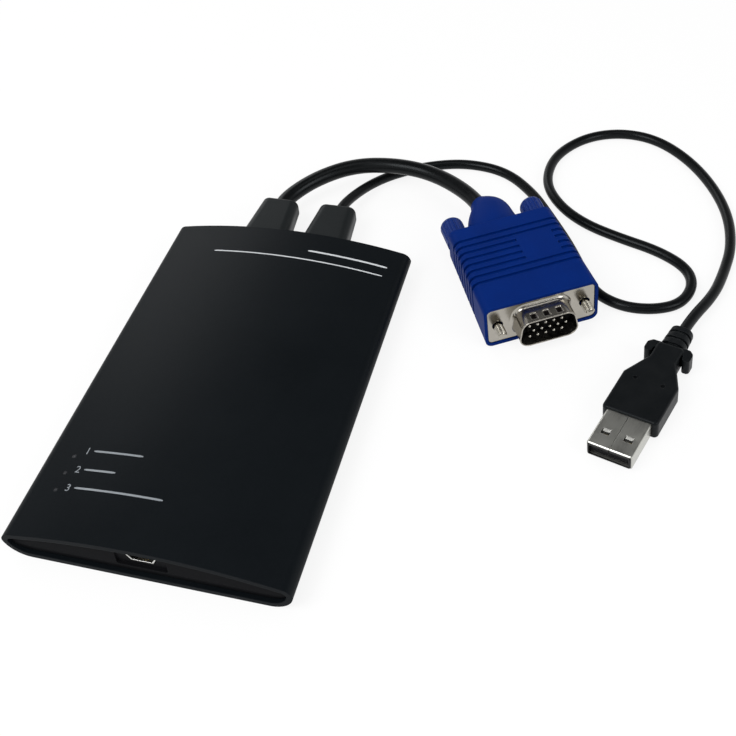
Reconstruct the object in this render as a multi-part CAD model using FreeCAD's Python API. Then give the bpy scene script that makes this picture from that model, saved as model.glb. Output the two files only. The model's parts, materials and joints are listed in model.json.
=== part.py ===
import FreeCAD, Part
import math
import os

# Crash cart adapter: a slim arched case with a video lead and a keyboard lead on its rear end.
# Millimetres. Origin under the middle of the case, X across, Y towards the leads, Z up.

# Case sleeve, an extrusion with an arched top and rounded lower corners
case_width = 73.2
case_length = 112.3
case_height = 12.0
edge_height = 5.4
lower_corner_run = 6.4
shoulder_radius = 3.0
least_radius = 0.3
sleeve_wall = 1.5

# End caps, set into the ends of the sleeve and held by two spring tabs each
cap_recess = 0.8
cap_thickness = 3.0
cap_fit = 0.15
cap_ridge_height = 4.0
cap_upper_lean = 1.1
cap_lower_lean = 0.6
tab_offset = 22.0
tab_width = 7.0
tab_length = 5.0
tab_thickness = 1.0
barb_height = 0.5
barb_length = 1.2

# Circuit board and the rails that carry its edges
board_side_gap = 5.0
board_rear = 40.0
board_thickness = 1.6
board_underside = 3.9
board_gap = 0.1
rail_overlap = 1.5
rail_height = 1.2

# Status lights: lamps on the board and clear pipes up to the top
light_count = 3
light_pitch = 5.1
light_side_gap = 8.6
light_first = -32.4
pipe_diameter = 1.0
pipe_fit = 0.05
lamp_length = 1.6
lamp_width = 0.9
lamp_height = 0.8

# Small socket in the front cap
socket_line = -0.75
socket_width = 7.7
socket_foot_width = 5.6
socket_height = 4.0
socket_sheet = 0.35
socket_length = 9.0
socket_block = 3.6
socket_fit = 0.2
port_width = 13.0
port_height = 5.9
port_corner = 0.8
port_depth = 0.8
port_drop = 0.5
tongue_width = 4.0
tongue_thickness = 1.0
tongue_setback = 0.9
socket_contact_count = 5
socket_contact_pitch = 0.7
socket_contact_width = 0.4
socket_contact_thickness = 0.15
block_fit = 0.05

# Strain relief boots in the rear cap, either side of one line along the case
boot_line = 0.1
boot_across = 9.3
boot_height = 5.8
boot_root_width = 14.4
boot_root_thick = 7.6
boot_tip_width = 11.4
boot_tip_thick = 6.8
boot_corner = 2.4
boot_length = 18.3
boot_end_radius = 1.4
neck_width = 10.0
neck_thick = 5.6
neck_corner = 1.8
boot_flange_thick = 1.6

# Video plug: flange, skirt (inside) and pins are those of the 15 way high density connector
video_x = 77.5
video_y = 39.3
video_turn = 29.0
video_roll = -2.9
hood_width = 32.6
hood_thick = 14.5
hood_rear_width = 31.4
hood_rear_thick = 11.8
hood_length = 35.2
hood_corner = 2.2
groove_count = 8
groove_first = 11.0
groove_pitch = 2.65
groove_width = 1.1
groove_depth = 0.55
pad_side = 1.5
pad_width = 10.5
pad_skip_count = 2
pad_groove_count = 4
gland_rings = [
    (0.0, -0.8, 7.8, 5.2, 0.0), (4.0, -0.8, 7.7, 5.1, 0.0), (7.6, -0.45, 7.0, 4.8, 0.0),
    (10.6, -0.1, 6.1, 4.4, 4.0), (12.7, -0.4, 4.9, 3.9, 10.0), (14.1, -1.3, 3.6, 3.3, 16.0),
    (14.7, -1.9, 3.0, 3.0, 20.0)]
flange_width = 30.81
flange_height = 12.55
flange_thick = 0.8
flange_corner = 1.3
flange_setback = 0.3
flange_fit = 0.05
skirt_width = 16.92
skirt_height = 8.36
skirt_reach = 5.9
skirt_corner = 2.6
skirt_slant = 10.0
skirt_sheet = 0.45
skirt_root_radius = 0.7
dimple_size = 1.7
dimple_depth = 0.25
dimple_pitch = 3.4
dimple_count = 3
dimple_setback = 2.6
insulator_reach = 1.2
insulator_rear = 4.0
pin_row_count = 3
row_pin_count = 5
pin_pitch = 2.29
pin_row_pitch = 1.98
pin_diameter = 0.76
pin_reach = 5.0
pin_fit = 0.02
screw_spacing = 24.99
screw_diameter = 2.84
screw_reach = 4.0
thread_gap = 0.6
shank_diameter = 2.2
screw_fit = 0.09
screw_lead = 0.4
knob_diameter = 7.0
knob_length = 9.4
knob_gap = 0.3
knob_dome = 2.2
knob_flute_count = 14
flute_radius = 0.5
screw_seat = 8.0
seat_fit = 0.02

# Keyboard plug: a standard flat plug with a moulded grip
usb_x = 104.1
usb_y = 10.2
usb_turn = -18.2
usb_roll = -4.5
grip_half_width = 7.5
grip_waist = 3.7
grip_thick = 5.8
grip_straight = 13.8
grip_taper_end = 21.6
grip_length = 27.6
grip_corner = 1.2
grip_edge_radius = 0.8
ear_reach = 6.3
ear_slot = 0.45
ear_thick = 4.6
ear_tip = 23.6
ear_neck = 25.8
ear_end = 27.9
ear_bevel = 1.2
ear_corner = 0.9
pit_diameter = 1.2
pit_depth = 0.5
pit_across = 3.7
pit_back = 12.5
relief_length = 7.6
relief_root_width = 7.0
relief_root_thick = 5.7
relief_tip_width = 6.2
relief_tip_thick = 5.1
relief_core_width = 5.2
relief_core_thick = 4.2
relief_corner_share = 0.45
relief_ring_count = 3
relief_gap = 0.8
shell_width = 12.0
shell_height = 4.5
shell_reach = 12.2
shell_buried = 6.0
shell_corner = 0.5
shell_sheet = 0.32
shell_lip = 0.6
shell_lip_drop = 0.45
seam_width = 0.14
window_across = 3.0
window_width = 2.3
window_length = 2.0
window_setback = 5.3
flap_length = 1.4
flap_drop = 0.55
flap_gap = 0.15
blade_thick = 1.85
blade_setback = 1.0
blade_contact_count = 4
blade_contact_pitch = 2.2
blade_contact_width = 1.1
blade_contact_length = 8.0
blade_contact_thick = 0.2

# Leads, seen from end to end
video_lead_diameter = 4.9
usb_lead_diameter = 3.1
lead_bend_share = 0.45
lead_run_out = 3.5
lead_run_in = 6.0
video_lead_points = [
    (-1.9, 86.9, 7.2), (8.8, 94.6, 7.9), (22.2, 97.0, 7.9), (35.2, 94.7, 7.9)]
usb_lead_points = [
    (13.2, 89.9, 3.4), (20.1, 100.3, 1.55), (31.2, 106.7, 1.55), (43.1, 109.7, 1.55),
    (55.8, 107.4, 1.55), (65.8, 98.3, 1.55), (73.0, 87.5, 1.55), (81.8, 73.5, 1.55), (89.0, 57.8, 1.55),
    (97.6, 52.9, 1.55), (106.7, 53.1, 1.55), (114.3, 56.9, 1.55), (117.2, 65.1, 1.55),
    (114.7, 72.2, 1.55), (106.2, 77.9, 1.55), (94.8, 81.6, 1.55), (84.1, 86.0, 1.55), (75.6, 92.8, 1.55),
    (69.5, 102.6, 1.55), (69.1, 114.1, 1.55), (72.9, 123.3, 1.55), (80.4, 131.0, 1.55),
    (90.6, 134.4, 1.55), (101.4, 132.5, 1.55), (111.8, 124.0, 1.55), (120.2, 111.6, 1.55),
    (125.6, 97.6, 1.55), (127.0, 83.6, 1.55), (125.3, 72.2, 1.55), (122.8, 61.3, 2.4)]

# Parts on the board
chip_gap = 0.5
video_chip = (-6.0, 14.0, 14.0, 1.4)
video_chip_lead_count = 10
hub_chip = (3.0, -20.0, 10.0, 1.2)
hub_chip_lead_count = 8
lead_foot = 0.9
lead_width = 0.45
lead_pitch = 1.1
lead_thick = 0.25
memory_size = (8.0, 16.0, 1.2)
memory_place = (13.0, 10.0)
crystal_size = (4.8, 11.0, 3.4)
crystal_place = (-14.0, -18.0)
coil_diameter = 7.0
coil_height = 2.9
coil_edge_gap = 11.0
coil_row = -30.0
can_diameter = 4.0
can_height = 3.1
can_edge_gap = 11.0
right_can_rows = (-20.0, -12.0)
left_can_rows = (24.0, 32.0)
header_depth = 5.0
header_height = 3.6
video_header_width = 13.0
usb_header_width = 8.0
video_wire_count = 6
usb_wire_count = 4
wire_diameter = 1.2
wire_pitch = 1.7

# Worked out from the sizes above
half_width = case_width / 2
half_length = case_length / 2
board_width = case_width - 2 * board_side_gap
light_across = light_side_gap - half_width
front_face = -half_length + cap_recess
rear_face = half_length - cap_recess
cap_inset = sleeve_wall + cap_fit
board_top = board_underside + board_thickness
board_front = front_face + cap_thickness + board_gap
socket_mouth = front_face + port_depth
socket_middle = board_top + socket_height / 2
boot_end = rear_face + boot_length
gland_back, gland_side, gland_tip_wide, gland_tip_high, gland_lean = gland_rings[-1]
gland_end = hood_length + gland_back
roll_angle = math.radians(abs(video_roll))
video_height = (hood_thick * math.cos(roll_angle) + hood_width * math.sin(roll_angle)) / 2
usb_roll_angle = math.radians(abs(usb_roll))
usb_height = grip_thick * math.cos(usb_roll_angle) / 2 + grip_half_width * math.sin(usb_roll_angle)
grip_end = grip_length + relief_length


def vec(x, y, z):
    return FreeCAD.Vector(x, y, z)


def block(x0, x1, y0, y1, z0, z1):
    return Part.makeBox(x1 - x0, y1 - y0, z1 - z0, vec(x0, y0, z0))


def rod(radius, start, end):
    reach = end.sub(start)
    return Part.makeCylinder(radius, reach.Length, start, reach)


def prism(face, y0, y1):
    moved = face.copy()
    moved.translate(vec(0, y0, 0))
    return moved.extrude(vec(0, y1 - y0, 0))


def group(solids):
    return Part.makeCompound(solids)


# Start, middle and end of the arc that rounds one corner of a path
def corner_arc(before, corner, after, radius):
    back = before.sub(corner).normalize()
    ahead = after.sub(corner).normalize()
    half_turn = (math.pi - back.getAngle(ahead)) / 2
    reach = radius * math.tan(half_turn)
    inward = back.add(ahead).normalize()
    sagitta = radius / math.cos(half_turn) - radius
    start = corner.add(back.multiply(reach))
    end = corner.add(ahead.multiply(reach))
    return start, corner.add(inward.multiply(sagitta)), end


# Closed outline with rounded corners
def rounded_outline(points, radius):
    arcs = []
    for i, point in enumerate(points):
        after = points[(i + 1) % len(points)]
        arcs.append(corner_arc(points[i - 1], point, after, radius))
    edges = []
    for i, (start, middle, end) in enumerate(arcs):
        edges.append(Part.Arc(start, middle, end).toShape())
        edges.append(Part.LineSegment(end, arcs[(i + 1) % len(arcs)][0]).toShape())
    return Part.Wire(edges)


# Rounded rectangle across the Y axis
def rounded_rect(width, height, radius, y, x=0.0, z=0.0):
    w = width / 2
    h = height / 2
    points = [vec(x + w, y, z - h), vec(x + w, y, z + h), vec(x - w, y, z + h), vec(x - w, y, z - h)]
    return rounded_outline(points, radius)


def rounded_bar(width, height, radius, y0, y1, x=0.0, z=0.0):
    return prism(Part.Face(rounded_rect(width, height, radius, 0, x, z)), y0, y1)


# Cross section of the case, drawn in by the given inset
def case_section(inset):
    half = half_width - inset
    crown = case_height - inset
    run = lower_corner_run - inset
    rise = edge_height - inset
    shoulder = max(shoulder_radius - inset, least_radius)
    lower_radius = (run ** 2 + rise ** 2) / (2 * rise)
    half_sweep = math.atan2(run, lower_radius - rise) / 2
    lower_x = half - run + lower_radius * math.sin(half_sweep)
    lower_z = inset + lower_radius - lower_radius * math.cos(half_sweep)
    across = half - shoulder
    drop = crown - edge_height
    arch_radius = (across ** 2 + drop ** 2 - shoulder ** 2) / (2 * (drop - shoulder))
    lean = math.atan2(across, edge_height - crown + arch_radius)
    top_x = arch_radius * math.sin(lean)
    top_z = crown - arch_radius + arch_radius * math.cos(lean)
    middle = (math.pi / 2 + lean) / 2
    shoulder_x = across + shoulder * math.sin(middle)
    shoulder_z = edge_height + shoulder * math.cos(middle)
    edges = [Part.LineSegment(vec(run - half, 0, inset), vec(half - run, 0, inset)).toShape()]
    for side in (1, -1):
        floor_end = vec(side * (half - run), 0, inset)
        lower = vec(side * lower_x, 0, lower_z)
        edge = vec(side * half, 0, edge_height)
        top = vec(side * top_x, 0, top_z)
        edges.append(Part.Arc(floor_end, lower, edge).toShape())
        edges.append(Part.Arc(edge, vec(side * shoulder_x, 0, shoulder_z), top).toShape())
    edges.append(Part.Arc(vec(top_x, 0, top_z), vec(0, 0, crown), vec(-top_x, 0, top_z)).toShape())
    return Part.Face(Part.Wire(Part.__sortEdges__(edges)))


def case_bar(inset, y0, y1):
    return prism(case_section(inset), y0, y1)


# Layer of the case's top between two insets, over one tab
def tab_layer(outer, inner, y0, y1, side, grow):
    reach = tab_width / 2 + grow
    middle = side * tab_offset
    window = block(middle - reach, middle + reach, y0, y1, edge_height, case_height)
    return case_bar(outer, y0, y1).cut(case_bar(inner, y0, y1)).common(window)


def tab_pockets():
    end = front_face + cap_thickness + tab_length
    pockets = []
    for side in (1, -1):
        pocket = tab_layer(sleeve_wall - barb_height - cap_fit, cap_inset + tab_thickness,
                           end - barb_length - cap_fit, end + cap_fit, side, cap_fit)
        turned = pocket.copy()
        turned.rotate(vec(0, 0, 0), vec(0, 0, 1), 180)
        pockets += [pocket, turned]
    return pockets


def boot_place(side):
    return boot_line + side * boot_across


def light_points():
    return [light_first - i * light_pitch for i in range(light_count)]


def case_sleeve():
    inner = case_bar(sleeve_wall, -half_length, half_length)
    sleeve = case_bar(0, -half_length, half_length).cut(inner)
    shelf = board_width / 2 - rail_overlap
    rail_start = front_face + cap_thickness
    rail_end = rear_face - cap_thickness
    inside = case_bar(sleeve_wall / 2, rail_start, rail_end)
    rail_foot = board_top + board_gap
    for side in (1, -1):
        x0, x1 = sorted((side * shelf, side * half_width))
        ledge = block(x0, x1, rail_start, rail_end, 0, board_underside)
        keeper = block(x0, x1, rail_start, rail_end, rail_foot, rail_foot + rail_height)
        sleeve = sleeve.fuse([ledge.common(inside), keeper.common(inside)])
    hole = pipe_diameter / 2 + pipe_fit
    for y in light_points():
        sleeve = sleeve.cut(rod(hole, vec(light_across, y, edge_height), vec(light_across, y, case_height)))
    return sleeve.cut(tab_pockets()).removeSplitter()


# Plate and spring tabs of an end cap that faces the front
def end_cap(upper_lean, lower_lean):
    back = front_face + cap_thickness
    side_view = [vec(-half_width, front_face + upper_lean, case_height),
                 vec(-half_width, front_face, cap_ridge_height),
                 vec(-half_width, front_face + lower_lean, 0),
                 vec(-half_width, back, 0), vec(-half_width, back, case_height)]
    plate = Part.Face(Part.makePolygon(side_view + side_view[:1])).extrude(vec(case_width, 0, 0))
    cap = plate.common(case_bar(cap_inset, front_face, back))
    end = back + tab_length
    for side in (1, -1):
        tab = tab_layer(cap_inset, cap_inset + tab_thickness, back, end, side, 0)
        barb = tab_layer(sleeve_wall - barb_height, cap_inset + tab_thickness / 2,
                         end - barb_length, end, side, 0)
        cap = cap.fuse([tab, barb])
    return cap.removeSplitter()


# Mouth of the socket, wide at the top and narrow at the foot
def socket_outline(grow):
    top = socket_width / 2 + grow
    foot = socket_foot_width / 2 + grow
    z0 = board_top - grow
    z1 = board_top + socket_height + grow
    profile = [vec(foot, 0, z0), vec(top, 0, socket_middle), vec(top, 0, z1),
               vec(-top, 0, z1), vec(-top, 0, socket_middle), vec(-foot, 0, z0)]
    wire = rounded_outline(profile, least_radius)
    wire.translate(vec(socket_line, 0, 0))
    return Part.Face(wire)


def front_end_cap():
    recess = rounded_bar(port_width, port_height, port_corner, front_face, socket_mouth,
                         socket_line, socket_middle - port_drop)
    hole = prism(socket_outline(socket_fit), socket_mouth, front_face + cap_thickness)
    return end_cap(cap_upper_lean, cap_lower_lean).cut([recess, hole])


def rear_end_cap():
    cap = end_cap(0, 0)
    cap.rotate(vec(0, 0, 0), vec(0, 0, 1), 180)
    holes = []
    for side in (1, -1):
        holes.append(rounded_bar(neck_width + 2 * cap_fit, neck_thick + 2 * cap_fit, neck_corner + cap_fit,
                                 rear_face - cap_thickness, rear_face, boot_place(side), boot_height))
    return cap.cut(holes)


def main_board():
    return block(-board_width / 2, board_width / 2, board_front, board_rear, board_underside, board_top)


def socket_shell():
    outer = prism(socket_outline(0), socket_mouth, socket_mouth + socket_length)
    return outer.cut(prism(socket_outline(-socket_sheet), socket_mouth, socket_mouth + socket_length))


def socket_tongue():
    rear = socket_mouth + socket_length
    inner = -socket_sheet - block_fit
    base = prism(socket_outline(inner), rear - socket_block, rear)
    tongue = block(socket_line - tongue_width / 2, socket_line + tongue_width / 2,
                   socket_mouth + tongue_setback, rear - socket_block,
                   socket_middle, socket_middle + tongue_thickness)
    return base.fuse(tongue).removeSplitter()


def row_of(count, pitch):
    return [(i - (count - 1) / 2) * pitch for i in range(count)]


def socket_contact_strips():
    strips = []
    start = socket_mouth + tongue_setback + least_radius
    for offset in row_of(socket_contact_count, socket_contact_pitch):
        x = socket_line + offset
        strips.append(block(x - socket_contact_width / 2, x + socket_contact_width / 2,
                            start, socket_mouth + socket_length - socket_block,
                            socket_middle - socket_contact_thickness, socket_middle))
    return group(strips)


def status_lamps():
    return group([block(light_across - lamp_length / 2, light_across + lamp_length / 2,
                        y - lamp_width / 2, y + lamp_width / 2, board_top, board_top + lamp_height)
                  for y in light_points()])


def light_pipes():
    inside = case_bar(0, -half_length, half_length)
    foot = board_top + lamp_height
    return group([rod(pipe_diameter / 2, vec(light_across, y, foot),
                      vec(light_across, y, case_height)).common(inside) for y in light_points()])


# Flat chip with leads on all four sides
def quad_chip(x, y, size, height, leads):
    half = size / 2
    body = block(x - half, x + half, y - half, y + half, board_top, board_top + height)
    body = body.makeChamfer(lead_thick, body.Faces[5].Edges)
    feet = []
    for offset in row_of(leads, lead_pitch):
        for side in (1, -1):
            near, far = sorted((side * half, side * (half + lead_foot)))
            feet.append(block(x + near, x + far, y + offset - lead_width / 2, y + offset + lead_width / 2,
                              board_top, board_top + lead_thick))
            feet.append(block(x + offset - lead_width / 2, x + offset + lead_width / 2, y + near, y + far,
                              board_top, board_top + lead_thick))
    return body.fuse(feet)


def memory_chip():
    x, y = memory_place
    wide, deep, high = memory_size
    body = block(x - wide / 2, x + wide / 2, y - deep / 2, y + deep / 2, board_top, board_top + high)
    return body.makeChamfer(lead_thick, body.Faces[5].Edges)


def crystal():
    x, y = crystal_place
    wide, deep, high = crystal_size
    points = [vec(x + sx * wide / 2, y + sy * deep / 2, board_top)
              for sx, sy in ((1, -1), (1, 1), (-1, 1), (-1, -1))]
    return Part.Face(rounded_outline(points, wide / 2 - least_radius)).extrude(vec(0, 0, high))


def power_coil():
    x = board_width / 2 - coil_edge_gap
    y = coil_row
    base = block(x - coil_diameter / 2, x + coil_diameter / 2, y - coil_diameter / 2,
                 y + coil_diameter / 2, board_top, board_top + lamp_height)
    drum = rod(coil_diameter / 2 - least_radius, vec(x, y, board_top + lamp_height),
               vec(x, y, board_top + coil_height))
    return base.fuse(drum)


def capacitors():
    across = board_width / 2 - can_edge_gap
    places = [(across, y) for y in right_can_rows] + [(-across, y) for y in left_can_rows]
    return group([rod(can_diameter / 2, vec(x, y, board_top), vec(x, y, board_top + can_height))
                  for x, y in places])


def header(side, width):
    x = boot_place(side)
    return block(x - width / 2, x + width / 2, board_rear - header_depth, board_rear,
                 board_top, board_top + header_height)


# Wires from the inner face of a boot to its header
def wires(side, count):
    inner_face = rear_face - cap_thickness - boot_flange_thick
    middle = boot_place(side)
    return group([rod(wire_diameter / 2, vec(middle + x, board_rear, boot_height),
                      vec(middle + x, inner_face, boot_height)) for x in row_of(count, wire_pitch)])


# Tapered boot outside the cap, neck through it and flange behind it
def boot(side):
    body = Part.makeLoft([rounded_rect(boot_root_width, boot_root_thick, boot_corner, rear_face),
                          rounded_rect(boot_tip_width, boot_tip_thick, boot_corner, boot_end)], True, True)
    rim = [edge for edge in body.Edges if edge.BoundBox.YMin > boot_end - least_radius]
    body = body.makeFillet(boot_end_radius, rim)
    inner = rear_face - cap_thickness
    neck = rounded_bar(neck_width, neck_thick, neck_corner, inner, rear_face)
    flange = rounded_bar(boot_root_width - 2 * cap_fit, boot_root_thick - 2 * cap_fit, boot_corner,
                         inner - boot_flange_thick, inner)
    whole = body.fuse([neck, flange]).removeSplitter()
    whole.translate(vec(boot_place(side), 0, boot_height))
    return whole


# Moves a piece of the video plug from its own frame: X across, Y back from the mating face, Z up
def place_video(shape):
    roll = FreeCAD.Rotation(vec(0, 1, 0), video_roll)
    turn = FreeCAD.Rotation(vec(0, 0, 1), video_turn)
    frame = FreeCAD.Placement(vec(video_x, video_y, video_height), turn.multiply(roll))
    shape.Placement = frame.multiply(shape.Placement)
    return shape


def hood_body(inset):
    front = rounded_rect(hood_width - 2 * inset, hood_thick - 2 * inset, hood_corner, 0)
    rear = rounded_rect(hood_rear_width - 2 * inset, hood_rear_thick - 2 * inset, hood_corner, hood_length)
    return Part.makeLoft([front, rear], True, True)


# Blunt lead gland behind the hood: rings given by how far back and aside they lie, half sizes and lean
def gland():
    wires_round = []
    for back, side, wide, high, lean in gland_rings:
        ring = Part.Wire(Part.Ellipse(vec(0, 0, 0), wide, high).toShape())
        ring.rotate(vec(0, 0, 0), vec(1, 0, 0), 90)
        ring.rotate(vec(0, 0, 0), vec(0, 0, 1), lean)
        ring.translate(vec(side, hood_length + back, 0))
        wires_round.append(ring)
    return Part.makeLoft(wires_round, True, False)


def grip_grooves(hood):
    core = hood_body(groove_depth)
    half_across = hood_width / 2
    cutters = []
    for i in range(groove_count):
        y = groove_first + i * groove_pitch
        slab = block(-half_across, half_across, y - groove_width / 2, y + groove_width / 2,
                     -hood_thick / 2, hood_thick / 2)
        if pad_skip_count <= i < pad_skip_count + pad_groove_count:
            slab = slab.cut(block(pad_side, pad_side + pad_width, y - groove_width, y + groove_width,
                                  0, hood_thick / 2))
        cutters.append(slab.common(hood).cut(core))
    return cutters


def d_outline(grow, y):
    half_high = skirt_height / 2 + grow
    slant = math.tan(math.radians(skirt_slant))
    foot = skirt_width / 2 + grow
    top = foot - 2 * half_high * slant
    points = [vec(foot, y, -half_high), vec(top, y, half_high),
              vec(-top, y, half_high), vec(-foot, y, -half_high)]
    return rounded_outline(points, skirt_corner + grow)


def d_bar(grow, y0, y1):
    return prism(Part.Face(d_outline(grow, 0)), y0, y1)


def screw_sides():
    return (("left", -screw_spacing / 2), ("right", screw_spacing / 2))


def video_hood():
    hood = hood_body(0)
    hood = hood.cut(grip_grooves(hood)).fuse(gland())
    seat = flange_setback + flange_thick
    cuts = [rounded_bar(flange_width + 2 * flange_fit, flange_height + 2 * flange_fit,
                        flange_corner + flange_fit, 0, seat),
            d_bar(flange_fit, seat, insulator_rear + flange_fit)]
    for name, x in screw_sides():
        cuts.append(rod(screw_diameter / 2 + screw_fit, vec(x, 0, 0), vec(x, gland_end, 0)))
    return place_video(hood.cut(cuts).removeSplitter())


def video_shell():
    front = flange_setback
    plate = rounded_bar(flange_width, flange_height, flange_corner, front, front + flange_thick)
    shell = plate.fuse(d_bar(skirt_sheet, -skirt_reach, front))
    root = [edge for edge in shell.Edges
            if abs(edge.BoundBox.YMin - front) < least_radius
            and abs(edge.BoundBox.YMax - front) < least_radius
            and edge.BoundBox.XMax < flange_width / 2 - skirt_corner
            and edge.BoundBox.XMin > skirt_corner - flange_width / 2
            and abs(edge.CenterOfMass.z) < skirt_height / 2 + skirt_sheet + least_radius]
    shell = shell.makeFillet(skirt_root_radius, root)
    cuts = [d_bar(0, -skirt_reach, front + flange_thick)]
    top = skirt_height / 2 + skirt_sheet
    for x in row_of(dimple_count, dimple_pitch):
        for side in (1, -1):
            z0, z1 = sorted((side * (top - dimple_depth), side * top))
            cuts.append(block(x - dimple_size / 2, x + dimple_size / 2,
                              -dimple_setback - dimple_size / 2, -dimple_setback + dimple_size / 2, z0, z1))
    for name, x in screw_sides():
        cuts.append(rod(screw_diameter / 2 + screw_fit, vec(x, 0, 0), vec(x, front + flange_thick, 0)))
    return place_video(shell.cut(cuts))


# Places of the pins, the middle row shifted by half a pitch
def pin_points():
    points = []
    for row, z in enumerate(row_of(pin_row_count, pin_row_pitch)):
        shift = (row % 2 - 0.5) * pin_pitch / 2
        points += [(x + shift, z) for x in row_of(row_pin_count, pin_pitch)]
    return points


def video_insulator():
    plate = d_bar(-block_fit, -insulator_reach, insulator_rear)
    holes = [rod(pin_diameter / 2 + pin_fit, vec(x, -insulator_reach, z), vec(x, insulator_rear, z))
             for x, z in pin_points()]
    return place_video(plate.cut(holes))


def video_pins():
    pins = []
    radius = pin_diameter / 2
    for x, z in pin_points():
        pin = rod(radius, vec(x, insulator_rear, z), vec(x, -pin_reach, z))
        tip = [edge for edge in pin.Edges if edge.BoundBox.YMax < -pin_reach + pin_fit]
        pins.append(pin.makeChamfer(radius / 2, tip))
    return place_video(group(pins))


# Screw end clear of the flange, on a thinner shank that reaches back into the knob
def jackscrew(x):
    root = vec(x, flange_setback - thread_gap, 0)
    screw = rod(screw_diameter / 2, root, vec(x, -screw_reach, 0))
    tip = [edge for edge in screw.Edges if edge.BoundBox.YMax < -screw_reach + screw_fit]
    shank = rod(shank_diameter / 2, vec(x, hood_length + knob_gap + screw_seat, 0), root)
    return place_video(screw.makeChamfer(screw_lead, tip).fuse(shank))


# Fluted knob with a domed end, moulded on its screw
def thumb_knob(x):
    start = hood_length + knob_gap
    radius = knob_diameter / 2
    end = start + knob_length
    bore = shank_diameter / 2 + seat_fit
    shoulder = end - knob_dome
    crown = radius * math.sqrt(0.5)
    edges = [Part.LineSegment(vec(0, start, 0), vec(radius, start, 0)).toShape(),
             Part.LineSegment(vec(radius, start, 0), vec(radius, shoulder, 0)).toShape(),
             Part.Arc(vec(radius, shoulder, 0), vec(crown + radius / 9, end - knob_dome / 4, 0),
                      vec(radius / 2, end, 0)).toShape(),
             Part.LineSegment(vec(radius / 2, end, 0), vec(0, end, 0)).toShape(),
             Part.LineSegment(vec(0, end, 0), vec(0, start, 0)).toShape()]
    knob = Part.Face(Part.Wire(edges)).revolve(vec(0, 0, 0), vec(0, 1, 0), 360)
    cuts = [rod(bore, vec(0, start, 0), vec(0, start + screw_seat + seat_fit, 0))]
    for i in range(knob_flute_count):
        angle = 2 * math.pi * i / knob_flute_count
        flute_x = (radius + flute_radius / 2) * math.cos(angle)
        flute_z = (radius + flute_radius / 2) * math.sin(angle)
        foot = vec(flute_x, start + knob_dome / 2, flute_z)
        cuts.append(rod(flute_radius, foot, vec(flute_x, end, flute_z)))
    knob = knob.cut(cuts)
    knob.translate(vec(x, 0, 0))
    return place_video(knob)


# Moves a piece of the keyboard plug from its own frame: X across, Y back from the grip's front
def place_usb(shape):
    roll = FreeCAD.Rotation(vec(0, 1, 0), usb_roll)
    turn = FreeCAD.Rotation(vec(0, 0, 1), usb_turn)
    frame = FreeCAD.Placement(vec(usb_x, usb_y, usb_height), turn.multiply(roll))
    shape.Placement = frame.multiply(shape.Placement)
    return shape


def plan_bar(points, radius, thick):
    wire = rounded_outline([vec(x, y, -thick / 2) for x, y in points], radius)
    return Part.Face(wire).extrude(vec(0, 0, thick))


# Forward pointing finger lug beside the waist of the grip
def grip_ear(side):
    inner = grip_waist + ear_slot
    points = [(grip_waist / 2, ear_neck), (inner, ear_neck), (inner, ear_tip), (ear_reach, ear_tip),
              (ear_reach, ear_end - ear_bevel), (ear_reach - ear_bevel, ear_end), (grip_waist / 2, ear_end)]
    if side < 0:
        points = [(-x, y) for x, y in reversed(points)]
    return plan_bar(points, ear_corner, ear_thick)


def relief_section(share, y):
    wide = relief_root_width + (relief_tip_width - relief_root_width) * share
    high = relief_root_thick + (relief_tip_thick - relief_root_thick) * share
    return rounded_rect(wide, high, high * relief_corner_share, y)


# Oval rings of the strain relief on a thinner core
def strain_relief():
    pitch = relief_length / relief_ring_count
    core = rounded_bar(relief_core_width, relief_core_thick, relief_core_thick * relief_corner_share,
                       grip_length - least_radius, grip_end)
    rings = [core]
    for i in range(relief_ring_count):
        y0 = grip_length + i * pitch + relief_gap
        y1 = grip_length + (i + 1) * pitch
        ends = [relief_section(i / relief_ring_count, y0), relief_section((i + 1) / relief_ring_count, y1)]
        rings.append(Part.makeLoft(ends, True, True))
    return rings


def usb_grip():
    outline = [(grip_half_width, 0), (grip_half_width, grip_straight), (grip_waist, grip_taper_end),
               (grip_waist, grip_length), (-grip_waist, grip_length), (-grip_waist, grip_taper_end),
               (-grip_half_width, grip_straight), (-grip_half_width, 0)]
    body = plan_bar(outline, grip_corner, grip_thick)
    level = grip_thick / 2 - least_radius
    rims = [edge for edge in body.Edges if abs(edge.CenterOfMass.z) > level]
    body = body.makeFillet(grip_edge_radius, rims)
    body = body.fuse([grip_ear(1), grip_ear(-1)] + strain_relief())
    cuts = [rounded_bar(shell_width + 2 * flange_fit, shell_height + 2 * flange_fit,
                        shell_corner + flange_fit, 0, shell_buried)]
    top = grip_thick / 2
    for side in (1, -1):
        x = side * pit_across
        cuts.append(rod(pit_diameter / 2, vec(x, pit_back, top - pit_depth), vec(x, pit_back, top)))
    return place_usb(body.cut(cuts).removeSplitter())


# Spring flap bent down into a window of the shell
def window_flap(x):
    top = shell_height / 2
    half = window_width / 2 - flap_gap
    rear = window_setback - shell_reach + window_length / 2
    free = rear - flap_length
    side_view = [vec(x - half, rear, top), vec(x - half, free, top - flap_drop),
                 vec(x - half, free, top - flap_drop - shell_sheet), vec(x - half, rear, top - shell_sheet)]
    return Part.Face(Part.makePolygon(side_view + side_view[:1])).extrude(vec(2 * half, 0, 0))


# Bar of the shell's section drawn in by the given inset, its mouth turned inward
def shell_bar(inset):
    wide = shell_width - 2 * inset
    high = shell_height - 2 * inset
    radius = shell_corner - inset / 2
    shoulder = shell_lip - shell_reach
    mouth = rounded_rect(wide - 2 * shell_lip_drop, high - 2 * shell_lip_drop, least_radius, -shell_reach)
    lip = Part.makeLoft([mouth, rounded_rect(wide, high, radius, shoulder)], True, True)
    return lip.fuse(rounded_bar(wide, high, radius, shoulder, shell_buried))


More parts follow.
